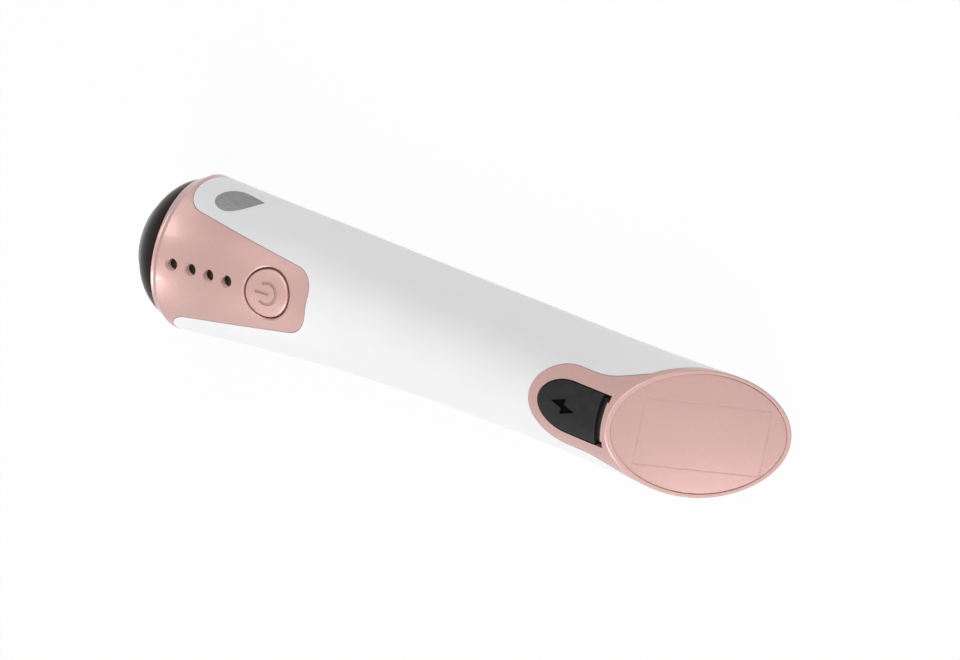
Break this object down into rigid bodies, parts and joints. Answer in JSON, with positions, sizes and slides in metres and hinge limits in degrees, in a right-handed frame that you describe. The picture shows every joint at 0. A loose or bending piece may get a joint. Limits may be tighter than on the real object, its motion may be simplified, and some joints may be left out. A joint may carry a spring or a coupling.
{
  "type": "light therapy wand",
  "caption": "Hand-held light therapy wand with a domed treatment head, press button, indicator row, a side contact and a flap over the charging socket near its slanted tail.",
  "frame": {"origin": "centre of the bounding box's base, on the plane that the back of the body rests on", "axes": "+X along the body from the treatment head to the slanted tail, +Z out of the side with the button, +Y to the right of the button seen with the head upwards"},
  "size_m": [0.1818, 0.0406, 0.0391],
  "materials": {
    "white_shell": "satin pearl",
    "rose_housing": "satin metallic",
    "rose_button": "satin metallic",
    "rose_plate": "satin metallic",
    "black_bezel": "gloss",
    "seal_rubber": "matt",
    "polished_ring": "polished",
    "clear_window": "polished",
    "white_reflector": "gloss",
    "circuit_board": "solder mask",
    "light_chip": "clear resin",
    "hand_contact": "satin",
    "gilt_contact": "plated",
    "black_moulding": "matt",
    "switch_plunger": "matt",
    "smoked_lens": "polished",
    "flap_rubber": "matt",
    "plated_steel": "plated",
    "cell_wrap": "film",
    "chassis_moulding": "matt",
    "lead_insulation": "matt"
  },
  "bodies": {
    "housing": {"handle_shell": "white_shell", "head_collar": "rose_housing", "tail_cap": "rose_housing", "tail_plate": "rose_plate", "head_bezel": "black_bezel", "head_gasket": "seal_rubber", "treatment_ring": "polished_ring", "treatment_window": "clear_window", "light_reflector": "white_reflector", "led_board": "circuit_board", "treatment_leds": "light_chip", "side_electrode_left": "hand_contact", "contact_pins": "gilt_contact", "switch_body": "black_moulding", "indicator_lenses": "smoked_lens", "indicator_leds": "light_chip", "control_board": "circuit_board", "flap_anchor": "flap_rubber", "usb_socket_shell": "plated_steel", "usb_socket_tongue": "black_moulding", "charge_board": "circuit_board", "battery_cell": "cell_wrap", "battery_tabs": "gilt_contact", "chassis": "chassis_moulding", "board_screws": "plated_steel", "main_leads": "lead_insulation", "head_leads": "lead_insulation"},
    "button": {"power_button": "rose_button", "switch_plunger": "switch_plunger"},
    "flap": {"port_flap": "flap_rubber"}
  },
  "joints": [
    {"name": "button_press", "type": "slide", "parent": "housing", "child": "button", "axis": [-0.198, 0, -0.9802], "range_m": [0, 0.0006], "stiffness_N_per_m": 800},
    {"name": "port_flap_hinge", "type": "hinge", "parent": "housing", "child": "flap", "pos_m": [0.04102, 0, 0.03265], "axis": [0, -1, 0], "range_deg": [0, 115]}
  ]
}
